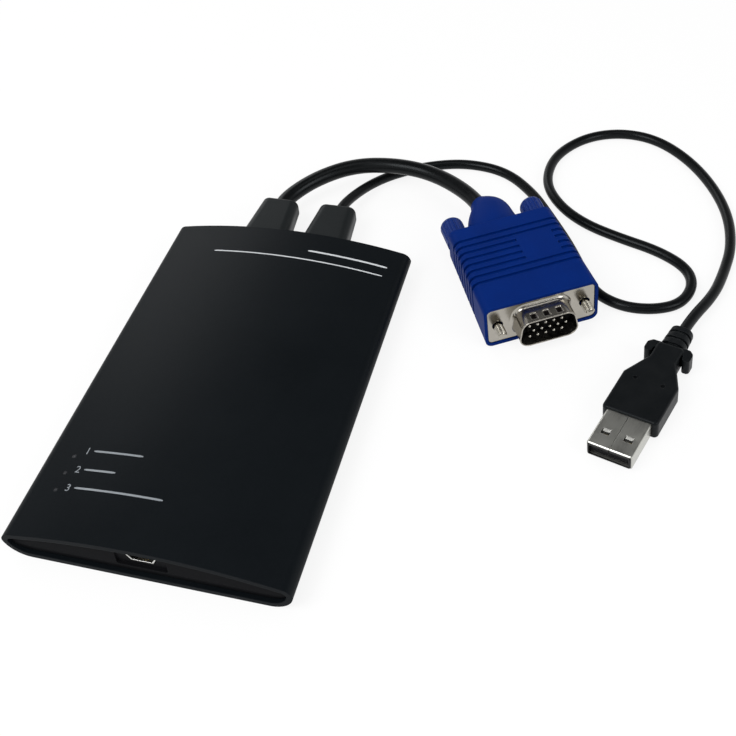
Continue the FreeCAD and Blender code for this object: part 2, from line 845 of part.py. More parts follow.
def usb_shell():
    shell = shell_bar(0)
    cuts = [shell_bar(shell_sheet)]
    middle = window_setback - shell_reach
    for side in (1, -1):
        x = side * window_across
        cuts.append(block(x - window_width / 2, x + window_width / 2,
                          middle - window_length / 2, middle + window_length / 2,
                          -shell_height / 2, shell_height / 2))
    cuts.append(block(-seam_width / 2, seam_width / 2, -shell_reach, shell_buried, 0, shell_height / 2))
    flaps = [window_flap(side * window_across) for side in (1, -1)]
    return place_usb(shell.cut(cuts).fuse(flaps))


def usb_blade_levels():
    low = -shell_height / 2 + shell_sheet + block_fit
    return low, low + blade_thick


def usb_blade():
    half = shell_width / 2 - shell_sheet - block_fit
    low, high = usb_blade_levels()
    blade = block(-half, half, blade_setback - shell_reach, shell_buried, low, high)
    corners = [edge for edge in blade.Edges if edge.BoundBox.YLength > shell_reach
               and edge.CenterOfMass.z < low + least_radius]
    blade = blade.makeFillet(shell_corner, corners)
    return place_usb(blade)


def usb_contacts():
    level = usb_blade_levels()[1]
    start = blade_setback - shell_reach + least_radius
    return place_usb(group([block(x - blade_contact_width / 2, x + blade_contact_width / 2, start,
                                  start + blade_contact_length, level, level + blade_contact_thick)
                            for x in row_of(blade_contact_count, blade_contact_pitch)]))


# Whole route of a lead: straight out of its boot, along its points and straight into its plug
def lead_route(side, points, place, plug_x, plug_y, lean):
    start = vec(boot_place(side), boot_end, boot_height)
    route = [start, start.add(vec(0, lead_run_out, 0))]
    route += [vec(*point) for point in points]
    angle = math.radians(lean)
    for run in (lead_run_in, 0):
        end = Part.Vertex(plug_x - run * math.sin(angle), plug_y + run * math.cos(angle), 0)
        route.append(place(end).Point)
    return route


# Round lead along straight runs joined by tangent arcs
def lead(name, route, diameter):
    edges = []
    last = route[0]
    radii = []
    length = 0.0
    for before, corner, after in zip(route, route[1:], route[2:]):
        run = min(corner.sub(before).Length, after.sub(corner).Length)
        turn = math.pi - before.sub(corner).getAngle(after.sub(corner))
        radius = lead_bend_share * run / math.tan(turn / 2)
        radii.append(round(radius, 1))
        start, middle, end = corner_arc(before, corner, after, radius)
        edges.append(Part.LineSegment(last, start).toShape())
        edges.append(Part.Arc(start, middle, end).toShape())
        last = end
    edges.append(Part.LineSegment(last, route[-1]).toShape())
    path = Part.Wire(edges)
    ring = Part.Wire(Part.Circle(route[0], route[1].sub(route[0]), diameter / 2).toShape())
    tube = path.makePipeShell([ring], True, False)
    length = sum(edge.Length for edge in edges)
    ratio = tube.Volume / (math.pi * diameter ** 2 / 4 * length)
    print(name, "length", round(length, 1), "volume share", round(ratio, 4), "radii", radii)
    return tube


video_route = lead_route(-1, video_lead_points, place_video, gland_side, gland_end, gland_lean)
usb_route = lead_route(1, usb_lead_points, place_usb, 0, grip_end, 0)

nodes = {
    "case_sleeve": case_sleeve(),
    "front_end_cap": front_end_cap(),
    "rear_end_cap": rear_end_cap(),
    "main_board": main_board(),
    "mini_usb_shell": socket_shell(),
    "mini_usb_tongue": socket_tongue(),
    "mini_usb_contacts": socket_contact_strips(),
    "status_lamps": status_lamps(),
    "light_pipes": light_pipes(),
    "video_capture_chip": quad_chip(*video_chip, video_chip_lead_count),
    "usb_hub_chip": quad_chip(*hub_chip, hub_chip_lead_count),
    "memory_chip": memory_chip(),
    "crystal_can": crystal(),
    "power_coil": power_coil(),
    "capacitors": capacitors(),
    "video_header": header(-1, video_header_width),
    "usb_header": header(1, usb_header_width),
    "video_wires": wires(-1, video_wire_count),
    "usb_wires": wires(1, usb_wire_count),
    "video_boot": boot(-1),
    "usb_boot": boot(1),
    "video_lead": lead("video_lead", video_route, video_lead_diameter),
    "usb_lead": lead("usb_lead", usb_route, usb_lead_diameter),
    "video_hood": video_hood(),
    "video_shell": video_shell(),
    "video_insulator": video_insulator(),
    "video_pins": video_pins(),
    "usb_grip": usb_grip(),
    "usb_plug_shell": usb_shell(),
    "usb_plug_blade": usb_blade(),
    "usb_plug_contacts": usb_contacts(),
}
for screw_name, screw_x in screw_sides():
    nodes[screw_name + "_jackscrew"] = jackscrew(screw_x)
    nodes[screw_name + "_thumb_knob"] = thumb_knob(screw_x)

os.makedirs("parts", exist_ok=True)
for name, shape in nodes.items():
    shape.exportStep("parts/" + name + ".step")
    print(name, "valid" if shape.isValid() else "NOT VALID", len(shape.Solids), round(shape.Volume, 1))
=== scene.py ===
import json
import math
import bpy
import bmesh
from mathutils import Matrix, Vector
from mathutils.bvhtree import BVHTree


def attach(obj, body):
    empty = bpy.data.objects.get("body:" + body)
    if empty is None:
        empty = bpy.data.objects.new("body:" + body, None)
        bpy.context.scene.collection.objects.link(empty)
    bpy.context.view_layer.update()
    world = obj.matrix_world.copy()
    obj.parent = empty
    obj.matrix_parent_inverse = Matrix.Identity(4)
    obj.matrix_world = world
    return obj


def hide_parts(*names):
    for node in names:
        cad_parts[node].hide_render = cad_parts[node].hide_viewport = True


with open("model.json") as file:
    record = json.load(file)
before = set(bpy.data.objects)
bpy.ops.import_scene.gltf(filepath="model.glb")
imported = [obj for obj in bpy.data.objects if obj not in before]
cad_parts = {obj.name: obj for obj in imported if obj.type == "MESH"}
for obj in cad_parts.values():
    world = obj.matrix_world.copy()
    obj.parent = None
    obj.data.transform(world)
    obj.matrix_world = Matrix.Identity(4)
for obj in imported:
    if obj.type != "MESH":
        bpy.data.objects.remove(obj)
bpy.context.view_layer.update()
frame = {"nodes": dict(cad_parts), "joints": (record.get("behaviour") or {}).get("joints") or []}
nodes = frame["nodes"]
print("frame in:", len(nodes), "nodes")


def putInScene(name, data):
    piece = bpy.data.objects.new(name, data)
    bpy.context.scene.collection.objects.link(piece)
    return piece


# camera, solved from the case corners and the plug sizes
cameraSet = {
    "lens": 52.35, "sensor": 36.0, "shift": (-0.0287, -0.0855), "clip": (0.01, 20.0),
    "place": (0.10145, -0.16554, 0.21887),
    "right": (0.96634, 0.24881, -0.06545),
    "ahead": (-0.22095, 0.67225, -0.70659),
}


def makeCamera(look):
    data = bpy.data.cameras.new("benchCamera")
    data.sensor_width = look["sensor"]
    data.lens = look["lens"]
    data.shift_x, data.shift_y = look["shift"]
    data.clip_start, data.clip_end = look["clip"]
    camera = putInScene("benchCamera", data)
    ahead = Vector(look["ahead"]).normalized()
    right = Vector(look["right"])
    right = (right - ahead * ahead.dot(right)).normalized()
    up = right.cross(ahead)
    turn = Matrix((right, up, -ahead)).transposed().to_4x4()
    camera.matrix_world = Matrix.Translation(Vector(look["place"])) @ turn
    bpy.context.scene.camera = camera


makeCamera(cameraSet)
print("camera set")

# leads: the points that each spline follows, in metres, from the boot to the plug
videoLeadSet = {
    "name": "videoLeadJacket", "node": "video_lead", "diameter": 0.0049, "length": 0.0758,
    "roundSteps": 7, "alongSteps": 14,
    "route": [
        (-0.0092, 0.07365, 0.0058), (-0.0092, 0.07715, 0.0058), (-0.0019, 0.0869, 0.0072),
        (0.0088, 0.0946, 0.0079), (0.0222, 0.0970, 0.0079), (0.0352, 0.0947, 0.0079),
        (0.0479, 0.0868, 0.0079), (0.051648, 0.082024, 0.007969)],
    "onIt": ["video_boot", "video_hood", "stampedShell", "video_insulator", "video_pins",
             "left_thumb_knob", "right_thumb_knob", "leftScrew", "rightScrew"],
}
usbLeadSet = {
    "name": "usbLeadJacket", "node": "usb_lead", "diameter": 0.0031, "length": 0.3773,
    "roundSteps": 7, "alongSteps": 14,
    "route": [
        (0.0094, 0.07365, 0.0058), (0.0094, 0.07715, 0.0058), (0.0132, 0.0899, 0.0034),
        (0.0201, 0.1003, 0.00155), (0.0312, 0.1067, 0.00155), (0.0431, 0.1097, 0.00155),
        (0.0558, 0.1074, 0.00155), (0.0658, 0.0983, 0.00155), (0.0730, 0.0875, 0.00155),
        (0.0818, 0.0735, 0.00155), (0.0890, 0.0578, 0.00155), (0.0976, 0.0529, 0.00155),
        (0.1067, 0.0531, 0.00155), (0.1143, 0.0569, 0.00155), (0.1172, 0.0651, 0.00155),
        (0.1147, 0.0722, 0.00155), (0.1062, 0.0779, 0.00155), (0.0948, 0.0816, 0.00155),
        (0.0841, 0.0860, 0.00155), (0.0756, 0.0928, 0.00155), (0.0695, 0.1026, 0.00155),
        (0.0691, 0.1141, 0.00155), (0.0729, 0.1233, 0.00155), (0.0804, 0.1310, 0.00155),
        (0.0906, 0.1344, 0.00155), (0.1014, 0.1325, 0.00155), (0.1118, 0.1240, 0.00155),
        (0.1202, 0.1116, 0.00155), (0.1256, 0.0976, 0.00155), (0.1270, 0.0836, 0.00155),
        (0.1253, 0.0722, 0.00155), (0.1228, 0.0613, 0.0024), (0.116968, 0.049339, 0.00348),
        (0.115094, 0.043639, 0.00348)],
    "onIt": ["usb_boot", "usb_grip", "usb_plug_shell", "usb_plug_blade", "usb_plug_contacts", "windowLeaves"],
}


def makeLead(look):
    curve = bpy.data.curves.new(look["name"], "CURVE")
    curve.dimensions = "3D"
    curve.bevel_depth = 1.0    # each point carries the jacket's half thickness
    curve.bevel_resolution = look["roundSteps"]
    curve.use_fill_caps = True
    curve.resolution_u = look["alongSteps"]
    spline = curve.splines.new("NURBS")
    spline.points.add(len(look["route"]) - 1)
    for point, place in zip(spline.points, look["route"]):
        point.co = (*place, 1.0)
        point.radius = look["diameter"] / 2
    spline.order_u = 3
    spline.use_endpoint_u = True
    spline.use_smooth = True
    jacket = putInScene(look["name"], curve)
    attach(jacket, "adapter")
    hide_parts(look["node"])
    return jacket


videoLead = makeLead(videoLeadSet)
usbLead = makeLead(usbLeadSet)
print("leads laid")


# node groups shared by the finishes
def newGroup(name, inputs, outputs):
    group = bpy.data.node_groups.new(name, "ShaderNodeTree")
    for label, value in inputs.items():
        socket = group.interface.new_socket(name=label, in_out="INPUT", socket_type="NodeSocketFloat")
        socket.default_value = value
    for label, kind in outputs.items():
        group.interface.new_socket(name=label, in_out="OUTPUT", socket_type="NodeSocket" + kind)
    return group, group.nodes.new("NodeGroupInput"), group.nodes.new("NodeGroupOutput")


# a number or a colour is set on the socket, an output is linked to it
def feed(tree, socket, value):
    if isinstance(value, float):
        socket.default_value = value
    elif isinstance(value, tuple):
        socket.default_value = (*value, 1.0)
    else:
        tree.links.new(value, socket)


def addMath(tree, operation, first, second=None, clamp=False):
    node = tree.nodes.new("ShaderNodeMath")
    node.operation = operation
    node.use_clamp = clamp
    feed(tree, node.inputs[0], first)
    if second is not None:
        feed(tree, node.inputs[1], second)
    return node.outputs[0]


def addVectorMath(tree, operation, first, second=None):
    node = tree.nodes.new("ShaderNodeVectorMath")
    node.operation = operation
    tree.links.new(first, node.inputs[0])
    if isinstance(second, tuple):
        node.inputs[1].default_value = second
    elif second is not None:
        tree.links.new(second, node.inputs[1])
    return node.outputs


def addRange(tree, value, span, target=(0.0, 1.0)):
    node = tree.nodes.new("ShaderNodeMapRange")
    tree.links.new(value, node.inputs["Value"])
    for label, number in zip(("From Min", "From Max", "To Min", "To Max"), (*span, *target)):
        node.inputs[label].default_value = number
    return node.outputs["Result"]


def addNoise(tree, scale, detail, roughness=0.55, vector=None):
    noise = tree.nodes.new("ShaderNodeTexNoise")
    noise.inputs["Detail"].default_value = detail
    noise.inputs["Roughness"].default_value = roughness
    if vector is None:
        vector = tree.nodes.new("ShaderNodeTexCoord").outputs["Object"]
    tree.links.new(vector, noise.inputs["Vector"])
    feed(tree, noise.inputs["Scale"], scale)
    return noise.outputs["Fac"]


# fine moulded or blasted grain
grainSet = {
    "scale": 4000.0, "patch": 300.0, "fineDetail": 3.0, "patchDetail": 2.0,
    "patchRange": (0.3, 0.7), "patchDepth": (0.55, 1.0), "speckRange": (0.52, 0.72),
}


def makeGrainGroup(look):
    group, start, end = newGroup("mouldGrain", {"Scale": look["scale"], "Patch": look["patch"]},
                                 {"Height": "Float", "Speck": "Float"})
    fine = addNoise(group, start.outputs["Scale"], look["fineDetail"])
    patch = addNoise(group, start.outputs["Patch"], look["patchDetail"])
    uneven = addRange(group, patch, look["patchRange"], look["patchDepth"])
    group.links.new(addMath(group, "MULTIPLY", fine, uneven), end.inputs["Height"])
    group.links.new(addRange(group, fine, look["speckRange"]), end.inputs["Speck"])
    return group


# soft smears from handling
smearSet = {"scale": 60.0, "gloss": (0.35, 0.5), "detail": 4.0, "rough": 0.6, "toneRange": (0.32, 0.68)}


def makeSmearGroup(look):
    low, high = look["gloss"]
    group, start, end = newGroup("handlingSmear", {"Scale": look["scale"], "Low": low, "High": high},
                                 {"Tone": "Float", "Gloss": "Float"})
    broad = addNoise(group, start.outputs["Scale"], look["detail"], look["rough"])
    tone = addRange(group, broad, look["toneRange"])
    span = addMath(group, "SUBTRACT", start.outputs["High"], start.outputs["Low"])
    gloss = addMath(group, "ADD", addMath(group, "MULTIPLY", tone, span), start.outputs["Low"])
    group.links.new(tone, end.inputs["Tone"])
    group.links.new(gloss, end.inputs["Gloss"])
    return group


# softened edges, and where they are rubbed bright
edgeSet = {
    "radius": 0.0002, "amount": 1.0, "samples": 6, "bendRange": (0.02, 0.25),
    "brokenScale": 900.0, "brokenDetail": 3.0, "brokenRange": (0.35, 0.65), "brokenShare": (0.15, 1.0),
}


def makeEdgeGroup(look):
    group, start, end = newGroup("edgeRub", {"Radius": look["radius"], "Amount": look["amount"]},
                                 {"Rub": "Float", "Normal": "Vector"})
    bevel = group.nodes.new("ShaderNodeBevel")
    bevel.samples = look["samples"]
    group.links.new(start.outputs["Radius"], bevel.inputs["Radius"])
    facing = group.nodes.new("ShaderNodeNewGeometry")
    dot = addVectorMath(group, "DOT_PRODUCT", bevel.outputs["Normal"], facing.outputs["Normal"])
    bend = addMath(group, "SUBTRACT", 1.0, dot["Value"], True)
    band = addRange(group, bend, look["bendRange"])
    spots = addNoise(group, look["brokenScale"], look["brokenDetail"])
    broken = addRange(group, spots, look["brokenRange"], look["brokenShare"])
    rub = addMath(group, "MULTIPLY", addMath(group, "MULTIPLY", band, broken), start.outputs["Amount"], True)
    group.links.new(rub, end.inputs["Rub"])
    group.links.new(bevel.outputs["Normal"], end.inputs["Normal"])
    return group


# rolled or brushed lines of sheet metal
lineSet = {
    "scale": 6000.0, "stretch": 30.0, "turn": 0.0, "detail": 3.0, "rough": 0.6, "streakRange": (0.35, 0.65),
}


def makeLineGroup(look):
    group, start, end = newGroup(
        "rolledLines", {"Scale": look["scale"], "Stretch": look["stretch"], "Turn": look["turn"]},
        {"Height": "Float", "Streak": "Float"})
    coords = group.nodes.new("ShaderNodeTexCoord")
    spin = group.nodes.new("ShaderNodeVectorRotate")
    spin.rotation_type = "Z_AXIS"
    group.links.new(coords.outputs["Object"], spin.inputs["Vector"])
    group.links.new(start.outputs["Turn"], spin.inputs["Angle"])
    split = group.nodes.new("ShaderNodeSeparateXYZ")
    group.links.new(spin.outputs["Vector"], split.inputs["Vector"])
    join = group.nodes.new("ShaderNodeCombineXYZ")
    group.links.new(split.outputs["X"], join.inputs["X"])
    group.links.new(addMath(group, "DIVIDE", split.outputs["Y"], start.outputs["Stretch"]), join.inputs["Y"])
    group.links.new(split.outputs["Z"], join.inputs["Z"])
    lines = addNoise(group, start.outputs["Scale"], look["detail"], look["rough"], join.outputs["Vector"])
    group.links.new(lines, end.inputs["Height"])
    group.links.new(addRange(group, lines, look["streakRange"]), end.inputs["Streak"])
    return group


mouldGrain = makeGrainGroup(grainSet)
handlingSmear = makeSmearGroup(smearSet)
edgeRub = makeEdgeGroup(edgeSet)
rolledLines = makeLineGroup(lineSet)
print("node groups built")


def placeGroup(tree, group, **values):
    node = tree.nodes.new("ShaderNodeGroup")
    node.node_tree = group
    for label, value in values.items():
        node.inputs[label].default_value = value
    return node


def placeSmear(tree, look):
    low, high = look["gloss"]
    return placeGroup(tree, handlingSmear, Scale=look["smearScale"], Low=low, High=high)


def placeEdge(tree, look):
    return placeGroup(tree, edgeRub, Radius=look["edgeRadius"], Amount=look["rubAmount"])


def blankMaterial(name):
    material = bpy.data.materials.new(name)
    material.use_nodes = True
    tree = material.node_tree
    return material, tree, tree.nodes["Principled BSDF"]


def mixColours(tree, mask, first, second):
    mix = tree.nodes.new("ShaderNodeMix")
    mix.data_type = "RGBA"
    colourIn = [socket for socket in mix.inputs if socket.type == "RGBA"]
    tree.links.new(mask, mix.inputs["Factor"])
    for socket, value in zip(colourIn, (first, second)):
        feed(tree, socket, value)
    return [socket for socket in mix.outputs if socket.type == "RGBA"][0]


def addBump(tree, shader, height, distance, strength, normal=None):
    bump = tree.nodes.new("ShaderNodeBump")
    bump.inputs["Distance"].default_value = distance
    bump.inputs["Strength"].default_value = strength
    tree.links.new(height, bump.inputs["Height"])
    if normal is not None:
        tree.links.new(normal, bump.inputs["Normal"])
    tree.links.new(bump.outputs["Normal"], shader.inputs["Normal"])


# satin lacquer on the long faces, thin at the cut ends
def addLacquer(tree, shader, lacquer):
    facing = tree.nodes.new("ShaderNodeNewGeometry")
    split = tree.nodes.new("ShaderNodeSeparateXYZ")
    tree.links.new(facing.outputs["Normal"], split.inputs["Vector"])
    along = addMath(tree, "ABSOLUTE", split.outputs["Y"])
    weight = addRange(tree, along, lacquer["fade"], (lacquer["weight"], 0.0))
    tree.links.new(weight, shader.inputs["Coat Weight"])
    shader.inputs["Coat Roughness"].default_value = lacquer["rough"]


# moulded plastic, rubber or a painted face: two close tones, rubbed edges, fine grain
def mouldedFinish(name, look):
    material, tree, shader = blankMaterial(name)
    grain = placeGroup(tree, mouldGrain, Scale=look["grainScale"])
    smear = placeSmear(tree, look)
    edge = placeEdge(tree, look)
    toned = mixColours(tree, smear.outputs["Tone"], look["base"], look["second"])
    specked = mixColours(tree, grain.outputs["Speck"], toned, look["speck"])
    baseColour = mixColours(tree, edge.outputs["Rub"], specked, look["rubbed"])
    tree.links.new(baseColour, shader.inputs["Base Color"])
    tree.links.new(smear.outputs["Gloss"], shader.inputs["Roughness"])
    shader.inputs["Specular IOR Level"].default_value = look["shine"]
    shader.inputs["Specular Tint"].default_value = (*look["tint"], 1.0)
    addBump(tree, shader, grain.outputs["Height"], look["grainDepth"], look["grainPush"],
            edge.outputs["Normal"])
    if "lacquer" in look:
        addLacquer(tree, shader, look["lacquer"])
    return material


# painted shade where sheet metal is pressed in: the colour darkens towards the dimple floors, from a value
# that the mesh carries
shadeLayer = "pressed"


def addPaintedShade(tree, colour, pressed):
    kept = tree.nodes.new("ShaderNodeAttribute")
    kept.attribute_name = shadeLayer
    mask = addRange(tree, kept.outputs["Fac"], pressed["range"])
    return mixColours(tree, mask, colour, pressed["shadeColour"])


# painted shade on the turned-in mouth: past a distance measured along the plug from its origin, the colour
# turns dark
def addMouthShade(tree, colour, mouth):
    coords = tree.nodes.new("ShaderNodeTexCoord")
    spread = addVectorMath(tree, "SUBTRACT", coords.outputs["Object"], mouth["origin"])
    along = addVectorMath(tree, "DOT_PRODUCT", spread["Vector"], mouth["axis"])
    mask = addRange(tree, along["Value"], mouth["range"])
    return mixColours(tree, mask, colour, mouth["paintedShade"])


# plated sheet metal or pins
def platedFinish(name, look):
    material, tree, shader = blankMaterial(name)
    lines = placeGroup(tree, rolledLines, Scale=look["lineScale"], Stretch=look["stretch"], Turn=look["turn"])
    smear = placeSmear(tree, look)
    edge = placeEdge(tree, look)
    toned = mixColours(tree, smear.outputs["Tone"], look["base"], look["second"])
    streaked = mixColours(tree, lines.outputs["Streak"], toned, look["streak"])
    baseColour = mixColours(tree, edge.outputs["Rub"], streaked, look["rubbed"])
    # painted shade is mixed into the colour here, in the dimples and on the mouth
    if "pressed" in look:
        baseColour = addPaintedShade(tree, baseColour, look["pressed"])
    if "mouth" in look:
        baseColour = addMouthShade(tree, baseColour, look["mouth"])
    tree.links.new(baseColour, shader.inputs["Base Color"])
    tree.links.new(smear.outputs["Gloss"], shader.inputs["Roughness"])
    shader.inputs["Metallic"].default_value = 1.0
    addBump(tree, shader, lines.outputs["Height"], look["lineDepth"], look["linePush"],
            edge.outputs["Normal"])
    return material


def setFinish(material, *names):
    for name in names:
        piece = nodes[name] if name in nodes else bpy.data.objects[name]
        if not piece.material_slots:
            piece.data.materials.append(material)
        for slot in piece.material_slots:
            slot.material = material


# case: satin black coat on the extrusion, slightly cool
caseBlackSet = {
    "base": (0.0030, 0.0043, 0.0056), "second": (0.0042, 0.0057, 0.0072), "speck": (0.0065, 0.0082, 0.0100),
    "rubbed": (0.014, 0.016, 0.019), "gloss": (0.40, 0.48), "shine": 0.03, "tint": (0.80, 0.92, 1.0),
    "lacquer": {"weight": 0.11, "rough": 0.34, "fade": (0.35, 0.9)},
    "smearScale": 34.0, "grainScale": 5200.0, "grainDepth": 0.00003, "grainPush": 0.16,
    "edgeRadius": 0.00022, "rubAmount": 0.3,
}
setFinish(mouldedFinish("caseBlack", caseBlackSet), "case_sleeve")

# end caps: moulded, without the lacquer
capBlackSet = {
    "base": (0.0042, 0.0044, 0.0052), "second": (0.0056, 0.0058, 0.0066), "speck": (0.0076, 0.0078, 0.0086),
    "rubbed": (0.018, 0.018, 0.020), "gloss": (0.46, 0.58), "shine": 0.03, "tint": (0.90, 0.92, 1.0),
    "smearScale": 80.0, "grainScale": 4200.0, "grainDepth": 0.00004, "grainPush": 0.25,
    "edgeRadius": 0.00018, "rubAmount": 0.4,
}
setFinish(mouldedFinish("capBlack", capBlackSet), "front_end_cap", "rear_end_cap")

# boots: soft moulding
bootBlackSet = {
    "base": (0.0050, 0.0066, 0.0073), "second": (0.0074, 0.0092, 0.0100), "speck": (0.0104, 0.0120, 0.0128),
    "rubbed": (0.030, 0.032, 0.034), "gloss": (0.36, 0.48), "shine": 0.15, "tint": (0.9, 0.96, 1.0),
    "smearScale": 140.0, "grainScale": 3600.0, "grainDepth": 0.00004, "grainPush": 0.3,
    "edgeRadius": 0.0003, "rubAmount": 0.6,
}
setFinish(mouldedFinish("bootBlack", bootBlackSet), "video_boot", "usb_boot")

# grip of the flat plug: smoother and darker than the boots
gripBlackSet = {
    "base": (0.0034, 0.0044, 0.0052), "second": (0.0052, 0.0062, 0.0070), "speck": (0.0075, 0.0084, 0.0092),
    "rubbed": (0.030, 0.032, 0.034), "gloss": (0.34, 0.44), "shine": 0.11, "tint": (0.9, 0.95, 1.0),
    "smearScale": 160.0, "grainScale": 4400.0, "grainDepth": 0.00003, "grainPush": 0.25,
    "edgeRadius": 0.0003, "rubAmount": 0.6,
}
setFinish(mouldedFinish("gripBlack", gripBlackSet), "usb_grip")

# lead jackets: smooth vinyl
leadBlackSet = {
    "base": (0.0026, 0.0031, 0.0034), "second": (0.0040, 0.0045, 0.0048), "speck": (0.0055, 0.0061, 0.0064),
    "rubbed": (0.030, 0.030, 0.031), "gloss": (0.24, 0.34), "shine": 0.15, "tint": (0.9, 0.96, 1.0),
    "smearScale": 110.0, "grainScale": 2600.0, "grainDepth": 0.00004, "grainPush": 0.25,
    "edgeRadius": 0.0001, "rubAmount": 0.0,
}
setFinish(mouldedFinish("leadBlack", leadBlackSet), videoLeadSet["name"], usbLeadSet["name"])

# video hood
hoodBlueSet = {
    "base": (0.0005, 0.0140, 0.122), "second": (0.0008, 0.0165, 0.140), "speck": (0.0014, 0.0200, 0.156),
    "rubbed": (0.006, 0.042, 0.250), "gloss": (0.52, 0.62), "shine": 0.07, "tint": (0.08, 0.28, 1.0),
    "smearScale": 120.0, "grainScale": 4000.0, "grainDepth": 0.00003, "grainPush": 0.22,
    "edgeRadius": 0.00025, "rubAmount": 0.5,
}
setFinish(mouldedFinish("hoodBlue", hoodBlueSet), "video_hood")

# thumb knobs: the same moulding, polished by fingers
knobBlueSet = dict(hoodBlueSet, gloss=(0.34, 0.44), shine=0.24, tint=(0.30, 0.50, 1.0))
setFinish(mouldedFinish("knobBlue", knobBlueSet), "left_thumb_knob", "right_thumb_knob")

# how the two plugs lie: origin in metres, turn and roll in degrees
videoPlugLie = {"place": (0.0775, 0.0393, 0.0080654), "turn": 29.0, "roll": -2.9}
flatPlugLie = {"place": (0.1041, 0.0102, 0.0034795), "turn": -18.2, "roll": -4.5}

# sheet metal of the two plugs and the socket, lines along each plug
videoNickelSet = {
    "base": (0.35, 0.335, 0.30), "second": (0.43, 0.41, 0.37), "streak": (0.39, 0.365, 0.32),
    "rubbed": (0.72, 0.70, 0.66), "gloss": (0.16, 0.26), "smearScale": 190.0, "lineScale": 5000.0,
    "stretch": 8.0, "turn": math.radians(-videoPlugLie["turn"]), "lineDepth": 0.00002, "linePush": 0.18,
    "edgeRadius": 0.00012, "rubAmount": 0.7,
    # painted shade: dark colour on the dimple floors of the skirt
    "pressed": {"shadeColour": (0.035, 0.031, 0.028), "range": (0.55, 1.0)},
}

usbNickelSet = {
    "base": (0.44, 0.44, 0.41), "second": (0.56, 0.56, 0.52), "streak": (0.56, 0.56, 0.52),
    "rubbed": (0.64, 0.64, 0.61), "gloss": (0.28, 0.40), "smearScale": 170.0, "lineScale": 5000.0,
    "stretch": 14.0, "turn": math.radians(-flatPlugLie["turn"]), "lineDepth": 0.00002, "linePush": 0.18,
    "edgeRadius": 0.00012, "rubAmount": 0.8,
}
# painted shade: the mouth of the flat plug is coloured dark
mouthSet = {
    "origin": flatPlugLie["place"], "axis": (-0.31233, -0.94997, 0.0), "range": (0.01180, 0.01195),
    "paintedShade": (0.020, 0.020, 0.020),
}
setFinish(platedFinish("usbNickel", dict(usbNickelSet, mouth=mouthSet)), "usb_plug_shell")

socketNickelSet = {
    "base": (0.60, 0.60, 0.58), "second": (0.70, 0.70, 0.68), "streak": (0.64, 0.64, 0.61),
    "rubbed": (0.86, 0.86, 0.85), "gloss": (0.16, 0.26), "smearScale": 260.0, "lineScale": 5000.0,
    "stretch": 10.0, "turn": 0.0, "lineDepth": 0.00002, "linePush": 0.15,
    "edgeRadius": 0.0001, "rubAmount": 0.8,
}
setFinish(platedFinish("socketNickel", socketNickelSet), "mini_usb_shell")

# gold contacts and plain plated pins
goldSet = {
    "base": (0.80, 0.60, 0.26), "second": (0.72, 0.52, 0.22), "streak": (0.84, 0.66, 0.32),
    "rubbed": (0.90, 0.76, 0.44), "gloss": (0.18, 0.28), "smearScale": 400.0, "lineScale": 7000.0,
    "stretch": 6.0, "turn": 0.0, "lineDepth": 0.00001, "linePush": 0.15,
    "edgeRadius": 0.00006, "rubAmount": 0.6,
}
setFinish(platedFinish("contactGold", goldSet), "mini_usb_contacts", "usb_plug_contacts")

pinSet = {
    "base": (0.36, 0.345, 0.31), "second": (0.30, 0.285, 0.25), "streak": (0.40, 0.38, 0.335),
    "rubbed": (0.54, 0.52, 0.48), "gloss": (0.16, 0.26), "smearScale": 500.0, "lineScale": 7000.0,
    "stretch": 6.0, "turn": math.radians(-videoPlugLie["turn"]), "lineDepth": 0.00001, "linePush": 0.15,
    "edgeRadius": 0.00006, "rubAmount": 0.6,
}
setFinish(platedFinish("pinPlate", pinSet), "video_pins")

# the mouldings that hold pins and contacts
insulatorSet = {
    "base": (0.0060, 0.0060, 0.0066), "second": (0.0085, 0.0085, 0.0092), "speck": (0.0110, 0.0110, 0.0118),
    "rubbed": (0.026, 0.026, 0.027), "gloss": (0.42, 0.55), "shine": 0.15, "tint": (0.95, 0.97, 1.0),
    "smearScale": 300.0, "grainScale": 5200.0, "grainDepth": 0.00002, "grainPush": 0.25,
    "edgeRadius": 0.0001, "rubAmount": 0.5,
}
setFinish(mouldedFinish("insulatorBlack", insulatorSet),
          "video_insulator", "mini_usb_tongue", "usb_plug_blade")
print("outer finishes on")

# board and what it carries, inside the case
boardGreenSet = {
    "base": (0.012, 0.095, 0.040), "second": (0.016, 0.120, 0.052), "speck": (0.020, 0.140, 0.062),
    "rubbed": (0.30, 0.30, 0.16), "gloss": (0.30, 0.42), "shine": 0.5, "tint": (1.0, 1.0, 1.0),
    "smearScale": 150.0, "grainScale": 2500.0, "grainDepth": 0.00003, "grainPush": 0.3,
    "edgeRadius": 0.0001, "rubAmount": 0.7,
}
setFinish(mouldedFinish("boardGreen", boardGreenSet), "main_board")

chipBlackSet = {
    "base": (0.014, 0.014, 0.015), "second": (0.018, 0.018, 0.019), "speck": (0.026, 0.026, 0.027),
    "rubbed": (0.05, 0.05, 0.05), "gloss": (0.5, 0.62), "shine": 0.4, "tint": (1.0, 1.0, 1.0),
    "smearScale": 200.0, "grainScale": 6000.0, "grainDepth": 0.00003, "grainPush": 0.35,
    "edgeRadius": 0.0001, "rubAmount": 0.4,
}
setFinish(mouldedFinish("chipBlack", chipBlackSet), "video_capture_chip", "usb_hub_chip", "memory_chip")

coilDarkSet = dict(
    chipBlackSet, base=(0.040, 0.040, 0.044), second=(0.055, 0.055, 0.060), speck=(0.075, 0.075, 0.080))
setFinish(mouldedFinish("coilDark", coilDarkSet), "power_coil")

headerWhiteSet = dict(
    chipBlackSet, base=(0.74, 0.71, 0.63), second=(0.80, 0.77, 0.70), speck=(0.84, 0.82, 0.76),
    rubbed=(0.88, 0.87, 0.83), gloss=(0.38, 0.5))
setFinish(mouldedFinish("headerWhite", headerWhiteSet), "video_header", "usb_header")

